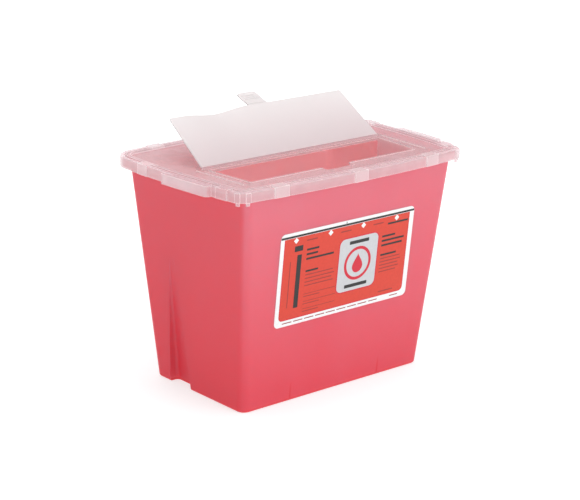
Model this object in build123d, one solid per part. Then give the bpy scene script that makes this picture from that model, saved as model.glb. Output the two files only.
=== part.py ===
from build123d import *
import os
from math import cos, hypot, radians, sin

# A two gallon sharps container: a tapered translucent tub, a clear press-fit lid with a
# top opening, and a hinged access door with a folding latch tab. Millimetres.
# X runs along the long side, Y from front (-Y) to rear, Z up.
# The origin is the middle of the footprint, on the surface that the tub stands on.

# Tub
base_length = 226.0
base_width = 134.5
draft_x = 0.0755            # outward lean of a narrow wall, per millimetre of height
draft_y = 0.1040            # outward lean of a long wall, per millimetre of height
wall = 2.0
tub_corner_radius = 9.0
tub_bottom_round = 2.5
foot_recess = 1.5           # hollow under the floor, inside the foot ring
foot_ring = 9.0
rim_height = 217.5          # top of the tub's rim flange
flange_thickness = 2.0
rim_lip_thickness = 1.6
rim_lip_drop = 2.7          # turned-down edge below the flange

# Flutes moulded into the narrow walls
flute_width = 33.0
flute_depth = 10.0
flute_height = 133.0
flute_centre_y = 27.5
flute_tip_width = 6.0
flute_root_radius = 4.0
flute_tip_radius = 2.0
flute_overhang = 6.0        # how far the cutting wedge stands outside the wall
flute_run_out = 12.0        # how far the wedge goes on above the flute's top

# Lid outline: a little shorter at the front than at the rear, with gently bowed sides
front_corner_overhang = 8.4     # from the tub's narrow wall out to the lid's front corners
rear_corner_overhang = 14.4     # from the tub's narrow wall out to the lid's rear corners
long_side_overhang = 3.7        # from the tub's long walls out to the corners
end_bow = 5.0
long_bow = 6.0
front_corner_radius = 12.0
rear_corner_radius = 26.0

# Lid section
skirt_height = 9.9
skirt_thickness = 1.8
deck_thickness = 2.0
deck_above_rim = 0.7        # clearance between the rim flange and the deck's underside
deck_to_skirt_top = 2.0
ridge_above_skirt = 0.5
groove_start = 3.4          # insets from the skirt's outer face
groove_end = 5.6
ridge_end = 9.4
groove_depth = 2.4
skirt_edge_round = 0.9
rim_clearance = 0.5
plug_clearance = 0.6
plug_thickness = 1.5
plug_depth = 8.0

# Snap blocks
long_block_inset = 36.0     # in from the tub's narrow wall; one more block is in the middle
rear_block_inset = 52.6     # from the lid's rear corners
front_block_inset = 23.6    # from the lid's front corners
long_block_width = 16.0
narrow_block_width = 14.0
block_proud = 0.7
block_notch_clearance = 1.0
hook_reach = 2.0            # how far a hook stands in from the skirt's inner face
hook_height = 1.8
hook_gap = 0.3

# Grip lips at the two narrow ends
grip_reach = 5.0
grip_front_inset = 36.6     # from the lid's front corners
grip_length = 63.0
grip_rear_radius = 1.5
grip_front_radius = 5.0
grip_wall = 1.8

# Front corner ribs, each with a short tab that hangs below the skirt
corner_rib_angles = (30.0, 79.0)
corner_rib_width = 5.0
corner_rib_proud = 0.5
corner_rib_root = 1.3
corner_tab_width = 3.5
corner_tab_thickness = 1.2
corner_tab_drop = 3.0

# Opening in the lid
opening_front_inset = 30.6  # from the lid's front corners
opening_depth = 55.0        # front to rear
opening_end_inset = 24.0    # in from the tub's narrow wall, at the rear
opening_taper = 4.0         # further in at the front
opening_corner_radius = 1.5
opening_bead_width = 1.8
opening_bead_height = 0.4
latch_side_clearance = 5.5
latch_swing_clearance = 0.3
end_rib_gap = 5.5           # from the door's end to the low rib beside it
end_rib_width = 1.0
end_rib_height = 0.5
apron_depth = 22.0
apron_thickness = 1.6

# Access door, hinge and latch tab
hinge_set_back = 6.0        # from the opening's rear edge
hinge_above_deck = 1.5
hinge_bead_radius = 0.9
hinge_foot_width = 1.0
hinge_play = 0.1
door_front_overlap = 4.0    # past the opening's front edge
door_rear_end_overlap = 4.5
door_front_end_overlap = 5.5
door_thickness = 1.3
door_corner_radius = 2.0
door_open_angle = 146.0     # from closed, as it stands
tab_width = 23.0
tab_length = 20.0
tab_corner_radius = 3.5
tab_back_angle = 13.0       # further back than the door

# Label
label_length = 167.0
label_height = 93.0
label_thickness = 0.3
label_corner_radius = 5.0
label_centre_z = 126.0

# Sizes worked out from the values above
tub_top_half_length = base_length / 2 + draft_x * rim_height
lid_front_half = tub_top_half_length + front_corner_overhang
lid_rear_half = tub_top_half_length + rear_corner_overhang
lid_half_width = base_width / 2 + draft_y * rim_height + long_side_overhang
long_block_x = tub_top_half_length - long_block_inset
long_side_blocks = (-long_block_x, 0.0, long_block_x)
narrow_side_blocks = (lid_half_width - rear_block_inset, front_block_inset - lid_half_width)
grip_front_y = grip_front_inset - lid_half_width
grip_rear_y = grip_front_y + grip_length
opening_front_y = opening_front_inset - lid_half_width
opening_rear_y = opening_front_y + opening_depth
opening_rear_half = tub_top_half_length - opening_end_inset
opening_front_half = opening_rear_half - opening_taper
hinge_y = opening_rear_y + hinge_set_back
door_length = hinge_y - opening_front_y + door_front_overlap
door_half_at_hinge = opening_rear_half + door_rear_end_overlap
door_half_at_edge = opening_front_half + door_front_end_overlap
latch_swing = hypot(door_length + hinge_bead_radius + door_thickness / 2, tab_length)
latch_notch_front_y = hinge_y - latch_swing - latch_swing_clearance
latch_notch_half = tab_width / 2 + latch_side_clearance

# Levels worked out from the values above
deck_bottom = rim_height + deck_above_rim
deck_top = deck_bottom + deck_thickness
skirt_top = deck_top + deck_to_skirt_top
skirt_bottom = skirt_top - skirt_height
ridge_top = skirt_top + ridge_above_skirt
flange_bottom = rim_height - flange_thickness
flange_inset = skirt_thickness + rim_clearance
floor_top = foot_recess + wall
hinge_z = deck_top + hinge_above_deck
over = 5.0                  # how far a cutting body runs past what it cuts


def half_length(height):
    """Half the tub's outer length at a height."""
    return base_length / 2 + draft_x * height


def half_width(height):
    """Half the tub's outer width at a height."""
    return base_width / 2 + draft_y * height


def tapered_block(inset, bottom, top):
    """The tub's outer form between two heights, with every side moved in by inset."""
    sections = []
    for height in (bottom, top):
        outline = RectangleRounded(
            2 * (half_length(height) - inset),
            2 * (half_width(height) - inset),
            tub_corner_radius - inset,
        )
        sections.append(Plane.XY.offset(height) * outline)
    return loft(sections, ruled=True)


def rim_face(inset):
    """The lid's bowed outline, moved in by inset."""
    front = lid_front_half - inset
    rear = lid_rear_half - inset
    y = lid_half_width - inset
    end = (front + rear) / 2 + end_bow
    sides = [
        ThreePointArc((-front, -y), (0, -y - long_bow), (front, -y)),
        ThreePointArc((front, -y), (end, 0), (rear, y)),
        ThreePointArc((rear, y), (0, y + long_bow), (-rear, y)),
        ThreePointArc((-rear, y), (-end, 0), (-front, -y)),
    ]
    outline = make_face(sides)
    front_pair = outline.vertices().sort_by(Axis.Y)[:2]
    outline = fillet(front_pair, front_corner_radius - inset)
    rear_pair = outline.vertices().sort_by(Axis.Y)[-2:]
    return fillet(rear_pair, rear_corner_radius - inset)


def rim_block(inset, bottom, top):
    """A solid of the bowed outline between two heights."""
    return extrude(Plane.XY.offset(bottom) * rim_face(inset), top - bottom)


def rim_ring(outer_inset, inner_inset, bottom, top):
    """A ring that follows the bowed outline."""
    return rim_block(outer_inset, bottom, top) - rim_block(inner_inset, bottom - 1, top + 1)


def box_between(low, high):
    """An axis-aligned box between two corners."""
    size = [high[i] - low[i] for i in range(3)]
    middle = [(high[i] + low[i]) / 2 for i in range(3)]
    return Pos(*middle) * Box(*size)


def block_windows(bottom, top, extra):
    """Boxes across the rim at every snap block, each wider than its block by extra a side."""
    outer_x = lid_rear_half + end_bow + over
    inner_x = lid_front_half - ridge_end - over
    outer_y = lid_half_width + long_bow + over
    inner_y = lid_half_width - ridge_end - over
    windows = []
    for centre in long_side_blocks:
        half = long_block_width / 2 + extra
        for side in (-1, 1):
            y_pair = sorted((side * outer_y, side * inner_y))
            windows.append(
                box_between((centre - half, y_pair[0], bottom), (centre + half, y_pair[1], top))
            )
    for centre in narrow_side_blocks:
        half = narrow_block_width / 2 + extra
        for side in (-1, 1):
            x_pair = sorted((side * outer_x, side * inner_x))
            windows.append(
                box_between((x_pair[0], centre - half, bottom), (x_pair[1], centre + half, top))
            )
    return windows


def flute_wedge(side, grow):
    """The tapered wedge of one flute, grown by grow, on the wall at side * X."""
    sections = []
    top_depth = -flute_depth * flute_run_out / flute_height
    for height, depth, width, radius in (
        (-grow - 1.0, flute_depth, flute_width, flute_root_radius),
        (flute_height + flute_run_out, top_depth, flute_tip_width, flute_tip_radius),
    ):
        face_x = half_length(max(height, 0.0))
        inner_x = face_x - depth - grow
        outer_x = face_x + flute_overhang
        outline = Pos(side * (inner_x + outer_x) / 2, flute_centre_y) * Rectangle(
            outer_x - inner_x, width + 2 * grow
        )
        corners = outline.vertices().sort_by(Axis.X)
        inner_pair = corners[-2:] if side < 0 else corners[:2]
        outline = fillet(inner_pair, radius + grow / 2)
        sections.append(Plane.XY.offset(height) * outline)
    return loft(sections, ruled=True)


def make_tub():
    """The tapered tub with its flutes, foot ring and turned-down rim flange."""
    outside = tapered_block(0.0, 0.0, rim_height)
    bottom_edges = outside.faces().sort_by(Axis.Z)[0].edges()
    outside = fillet(bottom_edges, tub_bottom_round)
    flange = rim_block(flange_inset, flange_bottom, rim_height)
    lip = rim_ring(
        flange_inset,
        flange_inset + rim_lip_thickness,
        flange_bottom - rim_lip_drop,
        flange_bottom + flange_thickness / 2,
    )
    for window in block_windows(
        flange_bottom - rim_lip_drop - 1, flange_bottom, block_notch_clearance
    ):
        lip -= window
    inside = tapered_block(wall, floor_top, rim_height + 1)
    for side in (-1, 1):
        outside -= flute_wedge(side, 0.0)
        inside -= flute_wedge(side, wall)
    foot_hollow = extrude(
        RectangleRounded(
            base_length - 2 * (foot_ring + flute_depth),
            base_width - 2 * foot_ring,
            tub_corner_radius,
        ),
        foot_recess,
    )
    return outside + flange + lip - inside - foot_hollow


def opening_outline(grow):
    """The lid opening's outline, grown by grow: a little narrower at the front."""
    points = [
        (-opening_rear_half - grow, opening_rear_y + grow),
        (-opening_front_half - grow, opening_front_y - grow),
        (opening_front_half + grow, opening_front_y - grow),
        (opening_rear_half + grow, opening_rear_y + grow),
    ]
    outline = make_face(Polyline(*points, close=True))
    return fillet(outline.vertices(), opening_corner_radius + grow)


def make_aprons():
    """End walls that hang from the opening's two ends and guide what drops in."""
    walls = []
    for side in (-1, 1):
        points = [
            (side * opening_rear_half, opening_rear_y),
            (side * opening_front_half, opening_front_y),
            (side * (opening_front_half + apron_thickness), opening_front_y),
            (side * (opening_rear_half + apron_thickness), opening_rear_y),
        ]
        outline = make_face(Polyline(*points, close=True))
        bottom = deck_bottom - apron_depth
        height = apron_depth + deck_thickness / 2
        walls.append(extrude(Plane.XY.offset(bottom) * outline, height))
    return walls


def make_grip(side):
    """A hollow grip lip on one narrow end, abrupt at the rear and rounded at the front."""
    reach = lid_rear_half + end_bow + grip_reach + over
    x_pair = sorted((0, side * reach))
    span = box_between(
        (x_pair[0], grip_front_y, skirt_bottom - 1), (x_pair[1], grip_rear_y, skirt_top + 1)
    )
    lip = rim_block(-grip_reach, skirt_bottom, skirt_top) & span
    lip -= rim_block(skirt_thickness / 2, skirt_bottom - 1, skirt_top + 1)
    for end, radius in ((0, grip_front_radius), (-1, grip_rear_radius)):
        uprights = lip.edges().filter_by(Axis.Z).sort_by(Axis.Y)
        pair = (uprights[:2] if end == 0 else uprights[-2:]).sort_by(Axis.X)
        lip = fillet([pair[0] if side < 0 else pair[-1]], radius)
    room = box_between(
        (x_pair[0], grip_front_y + grip_front_radius, skirt_bottom - 1),
        (x_pair[1], grip_rear_y - grip_wall, skirt_top - grip_wall),
    )
    hollow = rim_block(grip_wall - grip_reach, skirt_bottom - 1, skirt_top) & room
    return lip - (hollow - rim_block(0.0, skirt_bottom - 2, skirt_top + 1))


def upright_bar(centre, heading, outer, thickness, width, bottom, top):
    """A bar that stands round a corner, its outer face at a distance from the centre."""
    place = Plane(
        origin=centre + heading * (outer - thickness / 2) + Vector(0, 0, (bottom + top) / 2),
        x_dir=heading,
        z_dir=(0, 0, 1),
    )
    return place * Box(thickness, width, top - bottom)


def make_corner_ribs():
    """Upright ribs round each front corner of the lid, and the tabs that hang below them."""
    ribs = []
    for edge in rim_face(0.0).edges().filter_by(GeomType.CIRCLE):
        if abs(edge.radius - front_corner_radius) > 0.01:
            continue
        centre = Vector(edge.arc_center.X, edge.arc_center.Y, 0)
        sign_x = 1 if centre.X > 0 else -1
        for angle in corner_rib_angles:
            heading = Vector(sign_x * cos(radians(angle)), -sin(radians(angle)), 0)
            ribs.append(
                upright_bar(
                    centre,
                    heading,
                    front_corner_radius + corner_rib_proud,
                    corner_rib_proud + corner_rib_root,
                    corner_rib_width,
                    skirt_bottom,
                    skirt_top - skirt_edge_round,
                )
            )
            ribs.append(
                upright_bar(
                    centre,
                    heading,
                    front_corner_radius - (skirt_thickness - corner_tab_thickness),
                    corner_tab_thickness,
                    corner_tab_width,
                    skirt_bottom - corner_tab_drop,
                    skirt_bottom + skirt_thickness,
                )
            )
    return ribs


def make_lid():
    """The clear lid: skirt, groove and ridge, deck with its opening, plug wall and snaps."""
    lid = rim_block(0.0, skirt_bottom, skirt_top)
    top_edges = lid.faces().sort_by(Axis.Z)[-1].edges()
    lid = fillet(top_edges, skirt_edge_round)
    lid += rim_ring(groove_end, ridge_end, deck_bottom, ridge_top)
    lid -= rim_block(skirt_thickness, skirt_bottom - 1, deck_bottom)
    lid -= rim_block(ridge_end, deck_top, ridge_top + 1)
    lid -= rim_ring(groove_start, groove_end, skirt_top - groove_depth, ridge_top + 1)

    pads = rim_ring(-block_proud, ridge_end, skirt_bottom, ridge_top)
    pads -= rim_block(skirt_thickness, skirt_bottom - 1, deck_bottom)
    hook_bottom = flange_bottom - hook_gap - hook_height
    hooks = rim_ring(
        skirt_thickness / 2,
        skirt_thickness + hook_reach,
        hook_bottom,
        hook_bottom + hook_height,
    )
    for window in block_windows(skirt_bottom - 1, ridge_top + 1, 0.0):
        lid += pads & window
        lid += hooks & window

    plug_base = deck_bottom - plug_depth
    plug_x = half_length(plug_base) - wall - plug_clearance
    plug_y = half_width(plug_base) - wall - plug_clearance
    plug_radius = tub_corner_radius - wall
    plug = RectangleRounded(2 * plug_x, 2 * plug_y, plug_radius)
    plug -= RectangleRounded(
        2 * (plug_x - plug_thickness), 2 * (plug_y - plug_thickness), plug_radius - plug_thickness
    )
    lid += extrude(Plane.XY.offset(plug_base) * plug, plug_depth + deck_thickness / 2)

    for side in (-1, 1):
        lid += make_grip(side)
    for rib in make_corner_ribs():
        lid += rib

    bead = opening_outline(opening_bead_width)
    lid += extrude(Plane.XY.offset(deck_top) * bead, opening_bead_height)
    for side in (-1, 1):
        ends = []
        for y, half in ((hinge_y, door_half_at_hinge), (hinge_y - door_length, door_half_at_edge)):
            ends.append((side * (half + end_rib_gap), y))
            ends.append((side * (half + end_rib_gap + end_rib_width), y))
        outline = make_face(Polyline(ends[0], ends[1], ends[3], ends[2], close=True))
        lid += extrude(Plane.XY.offset(deck_top) * outline, end_rib_height)
    opening = extrude(
        Plane.XY.offset(deck_bottom - 1) * opening_outline(0.0), deck_thickness + over
    )
    notch = box_between(
        (-latch_notch_half, latch_notch_front_y, deck_bottom - 1),
        (latch_notch_half, opening_front_y + over, deck_top + over),
    )
    lid -= opening + notch
    for apron in make_aprons():
        lid += apron
    return lid


def hinge_point(distance, angle):
    """A point at a distance from the door's hinge line, along a door opened by angle."""
    return Vector(
        0,
        hinge_y - distance * cos(radians(angle)),
        hinge_z + distance * sin(radians(angle)),
    )


def sheet_plane(origin, angle):
    """A plane at origin that lies along a sheet opened by angle, with Y running outward."""
    outward = Vector(0, -cos(radians(angle)), sin(radians(angle)))
    across = Vector(1, 0, 0)
    return Plane(origin=origin, x_dir=across, z_dir=across.cross(outward))


def make_hinge_strip():
    """The moulded hinge line that the door turns on: a round bead on a low foot."""
    bead = Pos(0, hinge_y, hinge_z) * Rot(0, 90, 0) * Cylinder(
        hinge_bead_radius, 2 * door_half_at_hinge
    )
    foot = box_between(
        (-door_half_at_hinge, hinge_y - hinge_foot_width / 2, deck_top),
        (door_half_at_hinge, hinge_y + hinge_foot_width / 2, hinge_z - hinge_bead_radius / 2),
    )
    return bead + foot


def make_door():
    """The thin access door, open, with the fold bead for its tab on the free edge."""
    start = hinge_bead_radius + hinge_play
    outline = make_face(
        Polyline(
            (-door_half_at_hinge, start),
            (door_half_at_hinge, start),
            (door_half_at_edge, door_length),
            (-door_half_at_edge, door_length),
            close=True,
        )
    )
    free_corners = outline.vertices().sort_by(Axis.Y)[-2:]
    outline = fillet(free_corners, door_corner_radius)
    place = sheet_plane(hinge_point(0, door_open_angle), door_open_angle)
    return extrude(place * outline, door_thickness / 2, both=True)


def make_fold_strip():
    """The round fold bead on the door's free edge that the tab turns on."""
    centre = hinge_point(door_length + hinge_bead_radius, door_open_angle)
    return Pos(*centre) * Rot(0, 90, 0) * Cylinder(hinge_bead_radius, tab_width)


def make_tab():
    """The latch tab, bent slightly further back than the door."""
    centre = hinge_point(door_length + hinge_bead_radius, door_open_angle)
    start = hinge_bead_radius + hinge_play
    outline = make_face(
        Polyline(
            (-tab_width / 2, start),
            (tab_width / 2, start),
            (tab_width / 2, tab_length),
            (-tab_width / 2, tab_length),
            close=True,
        )
    )
    tip_corners = outline.vertices().sort_by(Axis.Y)[-2:]
    outline = fillet(tip_corners, tab_corner_radius)
    place = sheet_plane(centre, door_open_angle + tab_back_angle)
    return extrude(place * outline, door_thickness / 2, both=True)


def make_label():
    """The stuck-on front label, lying on the sloping front wall."""
    outward = Vector(0, -1, -draft_y)
    place = Plane(
        origin=(0, -half_width(label_centre_z), label_centre_z), x_dir=(1, 0, 0), z_dir=outward
    )
    outline = RectangleRounded(label_length, label_height, label_corner_radius)
    return extrude(place * outline, label_thickness)


parts = {
    "container_tub": make_tub(),
    "lid_frame": make_lid(),
    "door_hinge_strip": make_hinge_strip(),
    "access_door": make_door(),
    "tab_fold_strip": make_fold_strip(),
    "latch_tab": make_tab(),
    "front_label": make_label(),
}

os.makedirs("parts", exist_ok=True)
for name, shape in parts.items():
    export_step(shape, f"parts/{name}.step")
    print(name, len(shape.solids()), round(shape.volume), shape.bounding_box())
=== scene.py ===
from math import cos, pi, radians, sin

import bmesh
import bpy
from mathutils import Matrix, Vector


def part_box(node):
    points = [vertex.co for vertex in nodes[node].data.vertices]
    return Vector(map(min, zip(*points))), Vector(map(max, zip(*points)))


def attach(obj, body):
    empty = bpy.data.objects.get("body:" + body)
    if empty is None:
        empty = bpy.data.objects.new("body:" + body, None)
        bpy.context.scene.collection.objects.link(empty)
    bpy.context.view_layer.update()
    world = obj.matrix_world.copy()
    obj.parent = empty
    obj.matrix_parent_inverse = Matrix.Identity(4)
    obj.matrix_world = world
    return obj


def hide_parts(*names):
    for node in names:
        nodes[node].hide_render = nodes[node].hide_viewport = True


MM = 0.001

# Camera
CAMERA_AZIMUTH = radians(-40.64)
CAMERA_ELEVATION = radians(17.08)
CAMERA_ROLL = radians(0.83)
CAMERA_DISTANCE = 1.7864
AIM_HEIGHT = 0.110
AIM_UP = 0.0117
LENS = 113.8
SENSOR = 36.0

# Snap blocks and levels of the lid, for its clouded spots and the painted shade in its groove
LONG_BLOCKS = (-93.4 * MM, 0.0, 93.4 * MM)
LONG_BLOCK_HALF = 8.0 * MM
NARROW_BLOCKS = (41.0 * MM,)
NARROW_BLOCK_HALF = 7.0 * MM
BLOCK_SOFT = 0.3 * MM
LONG_SKIRT_Y = 86.0 * MM
NARROW_SKIRT_X = 130.0 * MM
SKIRT_SOFT = 2.0 * MM
GROOVE_Z = 219.8 * MM
GROOVE_HALF = 0.12 * MM
GROOVE_SOFT = 0.15 * MM

# Flutes in the tub's narrow walls
FLUTE_Y = 27.5 * MM
FLUTE_WIDTH = 33.0 * MM
FLUTE_HEIGHT = 133.0 * MM
FLUTE_X = 98.0 * MM

# The tub foot's edge, with its painted light in deep red, and the nesting ribs low down inside its
# long walls
FOOT_EDGE_HEIGHT = 3.5 * MM
NESTING_RIB_X = 56.0 * MM
NESTING_RIB_HEIGHT = 21.0 * MM
NESTING_RIB_HALF = 0.5 * MM
NESTING_RIB_SOFT = 0.9 * MM

# The open door's dip, and the latch tab's grip ribs
WARP_X = -52.0 * MM
WARP_HALF = 38.0 * MM
WARP_DEPTH = 5.0 * MM
WARP_CUTS = 12
SHARP_ANGLE = radians(35)
TAB_RIB_REACHES = (8.0 * MM, 11.0 * MM, 14.0 * MM)
TAB_RIB_LENGTH = 17.0 * MM
TAB_RIB_WIDTH = 0.7 * MM
TAB_RIB_LIFT = 0.65 * MM

# The label's print: the heights of its layers over the paper, and each layer's thickness,
# in millimetres as on the label
FIELD_LIFT = 0.02
PANEL_LIFT = 0.06
TOP_LIFT = 0.10
FILM = 0.03

# How much of the light each plastic passes on through itself
TUB_GLOW_OUTSIDE = 0.34
TUB_GLOW_INSIDE = 0.55
LID_GLOW = 0.45
DOOR_GLOW = 0.42

# How cloudy the clear lid is: on its walls and deck, and added at blocks; the share added at edges
# is painted highlight
HAZE_WALL = 0.40
HAZE_DECK = 0.29
HAZE_EDGE_HIGHLIGHT = 0.80
HAZE_BLOCK = 0.16

# Fine grain of the moulded surfaces
GRAIN_DEPTH = 0.02 * MM

# Colours, linear
TUB_RED_HIGH = (0.82, 0.270, 0.340)
TUB_RED_LOW = (0.83, 0.110, 0.155)
# Painted light on the foot's edge, also used for the nesting ribs' stripes
TUB_RED_RIM = (0.78, 0.020, 0.035)
TUB_GLOW = (0.97, 0.50, 0.52)
# Painted light on the tub's inward faces
TUB_INSIDE_LIGHT = (1.0, 0.80, 0.80)
# Painted shade of the tub's narrow walls
TUB_RED_END_SHADE = (0.80, 0.060, 0.090)
CLEAR_TINT = (0.97, 0.92, 0.93)
CLEAR_BODY = (0.93, 0.82, 0.84)
# Painted shade in the lid's groove
CLEAR_GROOVE_SHADE = (0.55, 0.33, 0.36)
# Painted highlight on the lid's edges
CLEAR_EDGE_HIGHLIGHT = (1.0, 0.98, 0.98)
# Painted light on the door: lit white up high, red bounce light low down
FROST_LIT_WHITE = (0.84, 0.83, 0.825)
FROST_RED_BOUNCE_PINK = (0.77, 0.71, 0.72)
# Painted highlight on the door's edges
FROST_EDGE_HIGHLIGHT = (0.97, 0.97, 0.97)
FROST_GLOW = (0.90, 0.86, 0.865)
PAPER_WHITE = (0.93, 0.93, 0.93)
INK_RED = (0.72, 0.048, 0.022)
INK_EDGE_RED = (0.66, 0.012, 0.035)
INK_BLACK = (0.020, 0.018, 0.018)
INK_FADED = (0.36, 0.035, 0.025)
INK_GREY = (0.62, 0.62, 0.64)
FLOOR_WHITE = (0.46, 0.50, 0.50)
FLOOR_WEAR = (0.45, 0.49, 0.49)
PURE_WHITE = (1.0, 1.0, 1.0)

# The floor glows from FLOOR_GLOW at FLOOR_NEAR to full strength at FLOOR_FAR, in metres
FLOOR_GLOW = 0.62
FLOOR_NEAR = 0.3
FLOOR_FAR = 1.2
FLOOR_HALF = 9.0

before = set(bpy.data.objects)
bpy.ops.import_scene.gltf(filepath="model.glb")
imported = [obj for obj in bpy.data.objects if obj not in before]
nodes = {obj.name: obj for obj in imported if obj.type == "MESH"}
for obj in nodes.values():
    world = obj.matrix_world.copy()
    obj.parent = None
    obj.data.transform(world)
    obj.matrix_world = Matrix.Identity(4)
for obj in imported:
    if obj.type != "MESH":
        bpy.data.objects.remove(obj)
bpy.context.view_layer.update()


# ---------------------------------------------------------------- materials


class Shading:
    """A material's node tree, built call by call."""

    def __init__(self, name):
        self.material = bpy.data.materials.new(name)
        self.material.use_nodes = True
        self.tree = self.material.node_tree
        self.tree.nodes.clear()
        self.end = self.tree.nodes.new("ShaderNodeOutputMaterial")

    def node(self, kind, settings=None, **sockets):
        """A node with its settings, and its sockets set to values or linked."""
        made = self.tree.nodes.new(kind)
        for key, value in (settings or {}).items():
            setattr(made, key, value)
        for key, value in sockets.items():
            self.feed(made.inputs[key.replace("_", " ")], value)
        return made

    def feed(self, socket, value):
        """Links an output to a socket, or sets the socket's own value."""
        if isinstance(value, bpy.types.NodeSocket):
            self.tree.links.new(value, socket)
        elif isinstance(value, tuple) and socket.type == "RGBA":
            socket.default_value = (*value, 1.0)
        else:
            socket.default_value = value

    def math(self, operation, first, second=0.0, clamp=False):
        """The result of a math operation on one or two values."""
        made = self.node("ShaderNodeMath", {"operation": operation, "use_clamp": clamp})
        self.feed(made.inputs[0], first)
        self.feed(made.inputs[1], second)
        return made.outputs[0]

    def absolute(self, value):
        """The value without its sign."""
        return self.math("ABSOLUTE", value)

    def dot(self, first, second):
        """The dot product of two vectors."""
        made = self.node("ShaderNodeVectorMath", {"operation": "DOT_PRODUCT"})
        self.feed(made.inputs[0], first)
        self.feed(made.inputs[1], second)
        return made.outputs["Value"]

    def split(self, vector):
        """A vector's X, Y and Z."""
        return self.node("ShaderNodeSeparateXYZ", Vector=vector).outputs

    def ramp(self, value, low, high, at_low=0.0, at_high=1.0):
        """A straight ramp from at_low to at_high, held at both ends."""
        made = self.node("ShaderNodeMapRange", {"clamp": True})
        for socket, number in zip(made.inputs, (value, low, high, at_low, at_high)):
            self.feed(socket, number)
        return made.outputs[0]

    def spread(self, noise, low, high):
        """Noise taken to a range of its own, which its middle part fills."""
        return self.ramp(noise, 0.3, 0.7, low, high)

    def mix(self, share, first, second):
        """A colour between two, the first at 0 and the second at 1."""
        made = self.node("ShaderNodeMix", {"data_type": "RGBA"})
        self.feed(made.inputs["Factor"], share)
        self.feed(made.inputs[6], first)
        self.feed(made.inputs[7], second)
        return made.outputs[2]

    def blend(self, share, first, second):
        """A shader between two, the first at 0 and the second at 1."""
        made = self.node("ShaderNodeMixShader")
        self.feed(made.inputs[0], share)
        self.feed(made.inputs[1], first.outputs[0])
        self.feed(made.inputs[2], second.outputs[0])
        return made

    def point(self):
        """The point's place in the frame, as a vector."""
        return self.node("ShaderNodeTexCoord").outputs["Object"]

    def place(self):
        """The point's place in the frame, as separate X, Y and Z."""
        return self.split(self.point())

    def facing(self):
        """The direction that the surface faces in the frame, as a vector."""
        return self.node("ShaderNodeTexCoord").outputs["Normal"]

    def noise(self, scale, detail=3.0, stretch=(1.0, 1.0, 1.0)):
        """Noise from 0 to 1, with scale as the number of its cells in a metre."""
        mapped = self.node("ShaderNodeMapping", Vector=self.point(), Scale=stretch)
        made = self.node(
            "ShaderNodeTexNoise", Vector=mapped.outputs[0], Scale=scale, Detail=detail
        )
        return made.outputs["Fac"]

    def bump(self, height, depth):
        """A normal that follows a height map of the given depth."""
        made = self.node("ShaderNodeBump", Height=height, Distance=depth, Strength=0.6)
        return made.outputs["Normal"]

    def near(self, value, middle, half, soft):
        """1 within half of middle, falling to 0 over soft."""
        away = self.absolute(self.math("SUBTRACT", value, middle))
        return self.ramp(away, half, half + soft, 1.0, 0.0)

    def edges(self, radius):
        """0 on flat stretches, up to 1 on the corners of the shape."""
        rounded = self.node("ShaderNodeBevel", {"samples": 6}, Radius=radius)
        true = self.node("ShaderNodeNewGeometry").outputs["Normal"]
        return self.ramp(self.dot(rounded.outputs[0], true), 0.995, 0.80)

    def finish(self, shader):
        """The finished material, with this shader as its surface."""
        self.feed(self.end.inputs["Surface"], shader.outputs[0])
        return self.material


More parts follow.
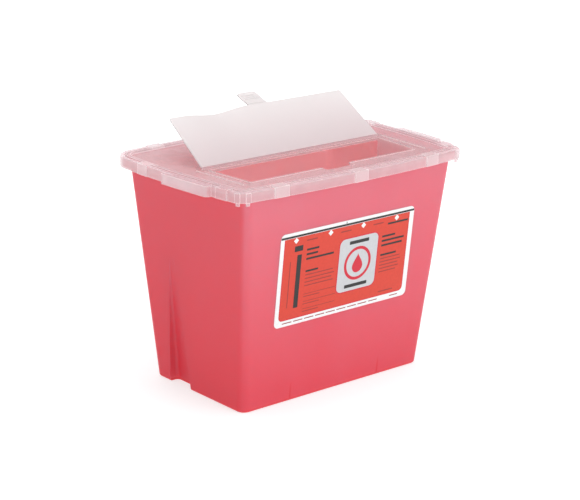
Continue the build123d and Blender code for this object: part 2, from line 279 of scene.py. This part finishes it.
def make_tub_plastic():
    """Translucent red polypropylene: paler up high, deep red where the edges gather light."""
    s = Shading("red_translucent")
    x, y, z = s.place()
    from_middle = s.absolute(x)
    normal = s.facing()
    low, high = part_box("container_tub")

    # Paler with height, and clouded a little
    cloud = s.math("MULTIPLY", s.noise(9.0, 2.0), 0.6)
    flow = s.math("MULTIPLY", s.noise(26.0, 3.0, (1.0, 1.0, 0.25)), 0.4)
    shade = s.spread(s.math("ADD", cloud, flow), -0.10, 0.10)
    rise = s.math("ADD", s.ramp(z, low.z, high.z), shade)
    colour = s.mix(s.ramp(rise, 0.0, 1.0), TUB_RED_LOW, TUB_RED_HIGH)

    # Painted shade: deeper red on the narrow walls, as on sides turned away from the key light
    end_wall_shade = s.ramp(s.absolute(s.split(normal)["X"]), 0.75, 1.0, 0.0, 0.65)
    colour = s.mix(end_wall_shade, colour, TUB_RED_END_SHADE)

    # Painted light: deepest red on the foot's edge, where the edge gathers light; the nesting ribs
    # show as fading stripes
    foot_edge_light = s.ramp(z, low.z, low.z + FOOT_EDGE_HEIGHT, 1.0, 0.0)
    ribs = s.near(from_middle, NESTING_RIB_X, NESTING_RIB_HALF, NESTING_RIB_SOFT)
    fade_start = low.z + 0.5 * NESTING_RIB_HEIGHT
    rib_fade = s.ramp(z, fade_start, low.z + NESTING_RIB_HEIGHT, 0.6, 0.0)
    deep = s.math("MAXIMUM", foot_edge_light, s.math("MULTIPLY", ribs, rib_fade))
    colour = s.mix(deep, colour, TUB_RED_RIM)

    # Painted light: paler on the faces that look inwards, as the lit inside looks, apart from the
    # flutes, which lie outside
    level_place = s.node("ShaderNodeCombineXYZ", X=x, Y=y).outputs[0]
    painted_inside_light = s.ramp(s.dot(normal, level_place), -10 * MM, 0.0, 1.0, 0.0)
    flute = s.near(y, FLUTE_Y, 0.55 * FLUTE_WIDTH, 2 * MM)
    flute_top = s.ramp(z, FLUTE_HEIGHT, FLUTE_HEIGHT + 5 * MM, 1.0, 0.0)
    flute = s.math("MULTIPLY", flute, flute_top)
    flute = s.math("MULTIPLY", flute, s.ramp(from_middle, FLUTE_X, FLUTE_X + 2 * MM))
    painted_inside_light = s.math("MULTIPLY", painted_inside_light, s.math("SUBTRACT", 1.0, flute))
    colour = s.mix(painted_inside_light, colour, TUB_INSIDE_LIGHT)

    grain = s.noise(900.0, 2.0)
    body = s.node(
        "ShaderNodeBsdfPrincipled",
        Base_Color=colour,
        Roughness=s.spread(grain, 0.28, 0.38),
        IOR=1.49,
        Specular_IOR_Level=0.28,
        Subsurface_Weight=0.85,
        Subsurface_Radius=(1.0, 0.28, 0.32),
        Subsurface_Scale=4.0 * MM,
        Normal=s.bump(grain, GRAIN_DEPTH),
    )
    glow = s.node("ShaderNodeBsdfTranslucent", Color=s.mix(0.6, colour, TUB_GLOW))
    passed = s.ramp(painted_inside_light, 0.0, 1.0, TUB_GLOW_OUTSIDE, TUB_GLOW_INSIDE)
    return s.finish(s.blend(passed, body, glow))


def make_lid_plastic():
    """Clear polypropylene, with painted highlights along its edges, and clouded where the snap
    blocks thicken it.
    """
    s = Shading("clear_frosted")
    x, y, z = s.place()
    edge = s.edges(0.9 * MM)
    side = s.ramp(s.absolute(y), LONG_SKIRT_Y, LONG_SKIRT_Y + SKIRT_SOFT)
    end = s.ramp(s.absolute(x), NARROW_SKIRT_X, NARROW_SKIRT_X + SKIRT_SOFT)
    thick = 0.0
    for along, middles, half, skirt in (
        (x, LONG_BLOCKS, LONG_BLOCK_HALF, side),
        (y, NARROW_BLOCKS, NARROW_BLOCK_HALF, end),
    ):
        for middle in middles:
            band = s.near(along, middle, half, BLOCK_SOFT)
            thick = s.math("MAXIMUM", s.math("MULTIPLY", band, skirt), thick)

    # The share of cloudy plastic over clear, with painted highlight added at the edges
    level = s.absolute(s.split(s.facing())["Z"])
    cloud = s.spread(s.noise(60.0, 3.0), 0.0, 0.06)
    share = s.math("ADD", cloud, s.ramp(level, 0.3, 0.7, HAZE_WALL, HAZE_DECK))
    share = s.math("ADD", share, s.math("MULTIPLY", edge, HAZE_EDGE_HIGHLIGHT))
    share = s.math("ADD", share, s.math("MULTIPLY", thick, HAZE_BLOCK), clamp=True)

    # Painted highlight in white on the edges, and whiter thick plastic on the snap blocks
    white = s.math("MAXIMUM", edge, s.math("MULTIPLY", thick, 0.5))
    # Painted shade: a dark line in the groove, on level faces
    groove_shade = s.math("MULTIPLY", s.near(z, GROOVE_Z, GROOVE_HALF, GROOVE_SOFT), level)
    tone = s.mix(white, s.mix(groove_shade, CLEAR_BODY, CLEAR_GROOVE_SHADE), CLEAR_EDGE_HIGHLIGHT)
    grain = s.noise(700.0, 2.0)
    bump = s.bump(grain, GRAIN_DEPTH)
    haze = s.node(
        "ShaderNodeBsdfPrincipled",
        Base_Color=tone,
        Roughness=s.spread(grain, 0.24, 0.36),
        IOR=1.45,
        Normal=bump,
    )
    cloudy = s.blend(LID_GLOW, haze, s.node("ShaderNodeBsdfTranslucent", Color=tone))
    through = s.node("ShaderNodeBsdfTransparent", Color=CLEAR_TINT)
    gloss = s.node("ShaderNodeBsdfGlossy", Color=PURE_WHITE, Roughness=0.16, Normal=bump)
    mirror = s.node("ShaderNodeFresnel", IOR=1.30, Normal=bump).outputs[0]
    inner = s.blend(share, through, cloudy)
    return s.finish(s.blend(s.math("MULTIPLY", mirror, 0.3), inner, gloss))


def make_door_plastic():
    """Thin frosted polypropylene sheet: milky, letting some light through."""
    s = Shading("door_frosted")
    z = s.place()["Z"]
    low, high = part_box("access_door")
    # Painted light: whiter higher up, where it is lit, and pinker low down by the hinge, where red
    # light from the tub falls on it
    flow = s.spread(s.noise(14.0, 3.0, (0.5, 1.0, 1.0)), -0.12, 0.12)
    painted_light_fade = s.math("ADD", s.ramp(z, low.z, high.z), flow)
    colour = s.mix(s.ramp(painted_light_fade, 0.0, 1.0), FROST_RED_BOUNCE_PINK, FROST_LIT_WHITE)
    # Painted highlight along the sheet's edges
    colour = s.mix(s.edges(0.6 * MM), colour, FROST_EDGE_HIGHLIGHT)
    grain = s.noise(800.0, 2.0)
    body = s.node(
        "ShaderNodeBsdfPrincipled",
        Base_Color=colour,
        Roughness=s.spread(grain, 0.38, 0.50),
        IOR=1.49,
        Normal=s.bump(grain, GRAIN_DEPTH),
    )
    glow = s.node("ShaderNodeBsdfTranslucent", Color=FROST_GLOW)
    return s.finish(s.blend(DOOR_GLOW, body, glow))


def make_print(name, colour, roughness):
    """Printed film: an even ink with a faint mottle and a satin top coat."""
    s = Shading(name)
    mottle = s.spread(s.noise(420.0, 3.0), 0.0, 1.0)
    darker = tuple(value * 0.93 for value in colour)
    fibre = s.noise(1500.0, 2.0)
    body = s.node(
        "ShaderNodeBsdfPrincipled",
        Base_Color=s.mix(mottle, colour, darker),
        Roughness=s.spread(fibre, roughness, roughness + 0.08),
        IOR=1.46,
        Normal=s.bump(fibre, 0.008 * MM),
    )
    return s.finish(body)


def make_floor_finish():
    """A white floor lit evenly: it glows a little, so only contact shadows stay on it."""
    s = Shading("floor_white")
    wear = s.noise(3.0, 2.0)
    reach = s.node("ShaderNodeVectorMath", {"operation": "LENGTH"}, Vector=s.point())
    away = reach.outputs["Value"]
    light = s.node(
        "ShaderNodeBsdfPrincipled",
        Base_Color=s.mix(wear, FLOOR_WHITE, FLOOR_WEAR),
        Roughness=0.9,
        Specular_IOR_Level=0.1,
        Emission_Color=PURE_WHITE,
        Emission_Strength=s.ramp(away, FLOOR_NEAR, FLOOR_FAR, FLOOR_GLOW, 1.0),
    )
    return s.finish(light)


# ---------------------------------------------------------------- meshes


def dress(mesh, material):
    """Gives a mesh this one material."""
    mesh.materials.clear()
    mesh.materials.append(material)


def add_object(name, mesh, material, smooth=False):
    """Links a mesh into the scene with its material."""
    dress(mesh, material)
    for face in mesh.polygons:
        face.use_smooth = smooth
    made = bpy.data.objects.new(name, mesh)
    bpy.context.scene.collection.objects.link(made)
    return made


def mesh_of(name, build):
    """A mesh made by a function that fills a bmesh."""
    work = bmesh.new()
    build(work)
    bmesh.ops.recalc_face_normals(work, faces=work.faces)
    mesh = bpy.data.meshes.new(name)
    work.to_mesh(mesh)
    work.free()
    return mesh


def middle_of(node):
    """The middle of a CAD node's box."""
    low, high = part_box(node)
    return (low + high) / 2


# ---------------------------------------------------------------- label


class LabelPlane:
    """Across (X) and up-slope coordinates on the label's outer face, from its centre."""

    def __init__(self):
        mesh = nodes["front_label"].data
        outer = max((f for f in mesh.polygons if f.normal.y < -0.5), key=lambda f: f.area)
        low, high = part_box("front_label")
        self.normal = outer.normal.copy()
        self.across = Vector((1, 0, 0))
        self.up = self.normal.cross(self.across).normalized()
        height = (low.z + high.z) / 2
        ahead = outer.center + self.up * ((height - outer.center.z) / self.up.z)
        self.middle = Vector(((low.x + high.x) / 2, ahead.y, height))

    def point(self, x, v, lift):
        """A point at x across and v up the label's face, in millimetres, raised by lift."""
        return self.middle + (self.across * x + self.up * v + self.normal * lift) * MM


def add_plate(work, plane, outline, lift):
    """A thin raised plate of a closed outline, in millimetres on the label."""
    bottom = [work.verts.new(plane.point(x, v, lift)) for x, v in outline]
    top = [work.verts.new(plane.point(x, v, lift + FILM)) for x, v in outline]
    work.faces.new(bottom)
    work.faces.new(top)
    for i in range(len(outline)):
        j = (i + 1) % len(outline)
        work.faces.new((bottom[i], bottom[j], top[j], top[i]))


def add_ring(work, plane, outer, inner, lift):
    """A thin raised band between two outlines with the same number of points."""
    loops = []
    for outline, level in ((outer, 0), (inner, 0), (inner, 1), (outer, 1)):
        height = lift + level * FILM
        loops.append([work.verts.new(plane.point(x, v, height)) for x, v in outline])
    count = len(outer)
    for a, b in ((0, 1), (1, 2), (2, 3), (3, 0)):
        for i in range(count):
            j = (i + 1) % count
            work.faces.new((loops[a][i], loops[a][j], loops[b][j], loops[b][i]))


def rounded_box(left, bottom, right, top, radii, steps=6):
    """A rectangle with four corner radii: lower left, lower right, upper right, upper left."""
    corners = (
        (left + radii[0], bottom + radii[0], radii[0], pi),
        (right - radii[1], bottom + radii[1], radii[1], 1.5 * pi),
        (right - radii[2], top - radii[2], radii[2], 0.0),
        (left + radii[3], top - radii[3], radii[3], 0.5 * pi),
    )
    points = []
    for x, v, radius, start in corners:
        for i in range(steps + 1):
            angle = start + i * 0.5 * pi / steps
            points.append((x + radius * cos(angle), v + radius * sin(angle)))
    return points


def circle(x, v, radius, steps=48):
    """The points of a circle."""
    return [
        (x + radius * cos(2 * pi * i / steps), v + radius * sin(2 * pi * i / steps))
        for i in range(steps)
    ]


def droplet(x, v, radius, tip, steps=40):
    """A drop: a round belly that runs up to a point, tip above its centre."""
    points = []
    for i in range(steps):
        angle = 2 * pi * i / steps - 0.5 * pi
        narrow = 1.0 - max(sin(angle), 0.0) ** 1.6
        reach = radius if sin(angle) < 0 else tip
        points.append((x + radius * cos(angle) * narrow, v + reach * sin(angle)))
    return points


def make_label_print():
    """The print on the label: plain blocks, bars and a ring with a drop, no lettering."""
    plane = LabelPlane()
    white = make_print("print_white", PAPER_WHITE, roughness=0.38)
    red = make_print("print_red", INK_RED, roughness=0.34)
    edge_red = make_print("print_edge_red", INK_EDGE_RED, roughness=0.34)
    black = make_print("print_black", INK_BLACK, roughness=0.40)
    faded = make_print("print_faded", INK_FADED, roughness=0.40)
    grey = make_print("print_grey", INK_GREY, roughness=0.36)
    dress(nodes["front_label"].data, white)

    # Outlines and bars are in millimetres from the label's centre
    left, right, bottom, top = -79.0, 78.0, -40.5, 41.0
    line = 0.9
    field = rounded_box(left, bottom, right, top, (4.5, 4.5, 0.4, 0.4))
    field_inner = rounded_box(
        left + line, bottom + line, right - line, top - 0.2, (3.8, 3.8, 0.3, 0.3)
    )
    panel = rounded_box(-9.5, -26.5, 39.0, 27.5, (6.0,) * 4)
    panel_outer = rounded_box(-10.6, -27.6, 40.1, 28.6, (7.0,) * 4)
    symbol_x, symbol_v = 14.75, 0.5

    def bars(work, rows, lift=PANEL_LIFT):
        """Bars, each given by its left end, the height of its middle, its length and its width."""
        for x0, v, length, height in rows:
            outline = rounded_box(x0, v - height / 2, x0 + length, v + height / 2, (0.2,) * 4, 2)
            add_plate(work, plane, outline, lift)

    def lines(x0, first, step, lengths, height):
        """Rows for bars under each other, like the lines of a paragraph."""
        return [(x0, first - step * i, length, height) for i, length in enumerate(lengths)]

    def build_field(work):
        add_plate(work, plane, field_inner, FIELD_LIFT)

    def build_edges(work):
        add_ring(work, plane, field, field_inner, FIELD_LIFT)
        add_ring(work, plane, panel_outer, panel, PANEL_LIFT)

    def build_panel(work):
        add_plate(work, plane, panel, PANEL_LIFT)

    def build_rule(work):
        bars(work, ((-83.2, 42.4, 166.4, 2.0), (-4.2, 44.4, 0.8, 2.4)))
        bars(work, ((2.5, 22.6, 24.5, 3.4), (0.5, -21.6, 28.5, 3.4)), TOP_LIFT)

    def build_symbol(work):
        outer = circle(symbol_x, symbol_v, 17.0)
        inner = circle(symbol_x, symbol_v, 14.0)
        add_ring(work, plane, outer, inner, TOP_LIFT)
        add_plate(work, plane, droplet(symbol_x, symbol_v - 3.0, 6.6, 13.0), TOP_LIFT)

    def build_marks(work):
        half, v = 3.0, 38.0
        for x in (-65.0, -23.0, 18.0, 61.0):
            outline = [(x - half, v), (x, v - half), (x + half, v), (x, v + half)]
            add_plate(work, plane, outline, PANEL_LIFT)

    def build_dark_bars(work):
        rows = lines(-51.0, 26.5, 4.6, (15, 14, 34), 2.0)
        rows += lines(44.0, 21.5, 4.6, (17, 29, 27), 2.0)
        rows += [(-50.5, 5.0, 15.5, 1.9), (44.0, 2.4, 20.5, 1.9)]
        rows += [(50.0, 33.6, 26.0, 1.9)]
        rows += [(-62.2, -3.2, 5.4, 53.0), (-66.0, 29.7, 10.0, 5.5)]
        bars(work, rows)

    def build_faded_bars(work):
        rows = lines(-50.5, 1.2, 3.6, (34, 36, 33, 35), 1.0)
        rows += [(-50.5, v, 40.0, 0.5) for v in (-18.0, -25.5, -33.0)]
        rows += [(-50.5, v, 20.0, 0.8) for v in (-20.6, -28.1, -35.6)]
        rows += lines(44.0, -1.4, 3.4, (26, 27, 24, 25, 22), 1.0)
        rows += [(x0, 36.0, 13.0, 1.2) for x0 in (-52.0, -10.0, 31.0)]
        rows += [(46.0, -36.0, 19.0, 1.1), (-70.5, -5.0, 1.0, 46.0)]
        bars(work, rows)

    def build_small_bars(work):
        rows = [(-74.0 + 13.5 * i, -43.3, 11.5, 0.9) for i in range(9)]
        rows += [(62.0, -43.3, 10.5, 0.9)]
        bars(work, rows)

    for name, build, material in (
        ("label_field", build_field, red),
        ("label_edge_lines", build_edges, edge_red),
        ("label_panel", build_panel, grey),
        ("label_rule_and_bars", build_rule, black),
        ("label_symbol", build_symbol, edge_red),
        ("label_marks", build_marks, white),
        ("label_dark_bars", build_dark_bars, black),
        ("label_faded_bars", build_faded_bars, faded),
        ("label_margin_bars", build_small_bars, faded),
    ):
        piece = add_object(name, mesh_of(name, build), material)
        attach(piece, "container")


# ---------------------------------------------------------------- door and tab


def make_warped_door(material):
    """The access door as it stands, with one half of its sheet bent into a shallow dip."""
    fold = middle_of("tab_fold_strip")
    low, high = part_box("door_hinge_strip")
    fold_low, fold_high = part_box("tab_fold_strip")
    bead = (fold_high.z - fold_low.z) / 2
    hinge = Vector((fold.x, (low.y + high.y) / 2, high.z - bead))
    across = Vector((1, 0, 0))
    along = (fold - hinge).normalized()
    under = along.cross(across)
    length = (fold - hinge).length

    def build(work):
        work.from_mesh(nodes["access_door"].data)
        cuts = [
            (across * (WARP_X + WARP_HALF * i / WARP_CUTS), across)
            for i in range(-WARP_CUTS, WARP_CUTS + 1)
        ]
        cuts += [(hinge + along * (length * i / WARP_CUTS), along) for i in range(1, WARP_CUTS)]
        for place, normal in cuts:
            everything = [*work.verts, *work.edges, *work.faces]
            bmesh.ops.bisect_plane(work, geom=everything, plane_co=place, plane_no=normal)
        for vertex in work.verts:
            away = min(abs(vertex.co.x - WARP_X) / WARP_HALF, 1.0)
            reach = max((vertex.co - hinge).dot(along) / length, 0.0)
            vertex.co += under * (WARP_DEPTH * reach**1.5 * cos(away * pi / 2) ** 2)

    door = add_object("door_sheet", mesh_of("door_sheet", build), material, smooth=True)
    door.data.set_sharp_from_angle(angle=SHARP_ANGLE)
    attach(door, "door")
    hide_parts("access_door")


def make_tab_ribs(material):
    """Three fine grip ribs across the latch tab."""
    fold = middle_of("tab_fold_strip")
    across = Vector((1, 0, 0))
    along = (middle_of("latch_tab") - fold).normalized()
    face = across.cross(along)
    turn = Matrix((across, along, face)).transposed().to_4x4()
    size = Matrix.Diagonal((TAB_RIB_LENGTH, TAB_RIB_WIDTH, TAB_RIB_WIDTH, 1.0))

    def build(work):
        for reach in TAB_RIB_REACHES:
            centre = Matrix.Translation(fold + along * reach + face * TAB_RIB_LIFT)
            bmesh.ops.create_cube(work, size=1.0, matrix=centre @ turn @ size)

    ribs = add_object("tab_grip_ribs", mesh_of("tab_grip_ribs", build), material)
    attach(ribs, "tab")


# ---------------------------------------------------------------- floor, lights and camera


def make_stage():
    """A large pale floor."""

    def build(work):
        bmesh.ops.create_grid(work, x_segments=8, y_segments=8, size=FLOOR_HALF)

    floor = add_object("floor", mesh_of("floor", build), make_floor_finish())


def make_light(name, place, aim, width, height, power):
    """A soft rectangular lamp at place that looks at aim."""
    data = bpy.data.lights.new(name, "AREA")
    data.shape = "RECTANGLE"
    data.size = width
    data.size_y = height
    data.energy = power
    data.color = PURE_WHITE
    lamp = bpy.data.objects.new(name, data)
    toward = Vector(aim) - Vector(place)
    turn = toward.to_track_quat("-Z", "Y").to_matrix().to_4x4()
    lamp.matrix_world = Matrix.Translation(place) @ turn
    bpy.context.scene.collection.objects.link(lamp)


def make_lights():
    """Four soft boxes around the container, the strongest above it, and a pale surround."""
    aim = (0.0, 0.0, 0.12)
    make_light("top_box", (0.1, -0.1, 2.3), aim, width=2.6, height=2.6, power=52.0)
    make_light("front_box", (0.9, -2.6, 1.3), aim, width=1.8, height=1.4, power=23.0)
    make_light("left_box", (-2.6, -0.6, 1.2), aim, width=1.4, height=1.2, power=6.0)
    make_light("rear_box", (0.6, 2.4, 1.6), aim, width=2.0, height=1.6, power=13.0)
    world = bpy.data.worlds.new("studio")
    world.use_nodes = True
    back = world.node_tree.nodes["Background"]
    back.inputs["Color"].default_value = (0.98, 0.985, 1.0, 1.0)
    back.inputs["Strength"].default_value = 0.34
    bpy.context.scene.world = world


def make_camera():
    """The camera, CAMERA_DISTANCE from a point over the middle of the base."""
    data = bpy.data.cameras.new("camera")
    data.lens = LENS
    data.sensor_width = SENSOR
    data.clip_end = 60.0
    back = Vector(
        (
            sin(CAMERA_AZIMUTH) * cos(CAMERA_ELEVATION),
            -cos(CAMERA_AZIMUTH) * cos(CAMERA_ELEVATION),
            sin(CAMERA_ELEVATION),
        )
    )
    level_right = Vector((cos(CAMERA_AZIMUTH), sin(CAMERA_AZIMUTH), 0.0))
    level_up = back.cross(level_right)
    right = level_right * cos(CAMERA_ROLL) + level_up * sin(CAMERA_ROLL)
    up = level_up * cos(CAMERA_ROLL) - level_right * sin(CAMERA_ROLL)
    place = Vector((0, 0, AIM_HEIGHT)) + back * CAMERA_DISTANCE + level_up * AIM_UP
    turn = Matrix((right, up, back)).transposed().to_4x4()
    camera = bpy.data.objects.new("camera", data)
    camera.matrix_world = Matrix.Translation(place) @ turn
    bpy.context.scene.collection.objects.link(camera)
    bpy.context.scene.camera = camera


# ---------------------------------------------------------------- scene


make_camera()
make_stage()
make_lights()
bpy.context.scene.view_settings.view_transform = "Standard"

tub_plastic = make_tub_plastic()
lid_plastic = make_lid_plastic()
door_plastic = make_door_plastic()
for node, material in (
    ("container_tub", tub_plastic),
    ("lid_frame", lid_plastic),
    ("door_hinge_strip", lid_plastic),
    ("access_door", door_plastic),
    ("tab_fold_strip", door_plastic),
    ("latch_tab", door_plastic),
):
    dress(nodes[node].data, material)

make_label_print()
make_warped_door(door_plastic)
make_tab_ribs(door_plastic)
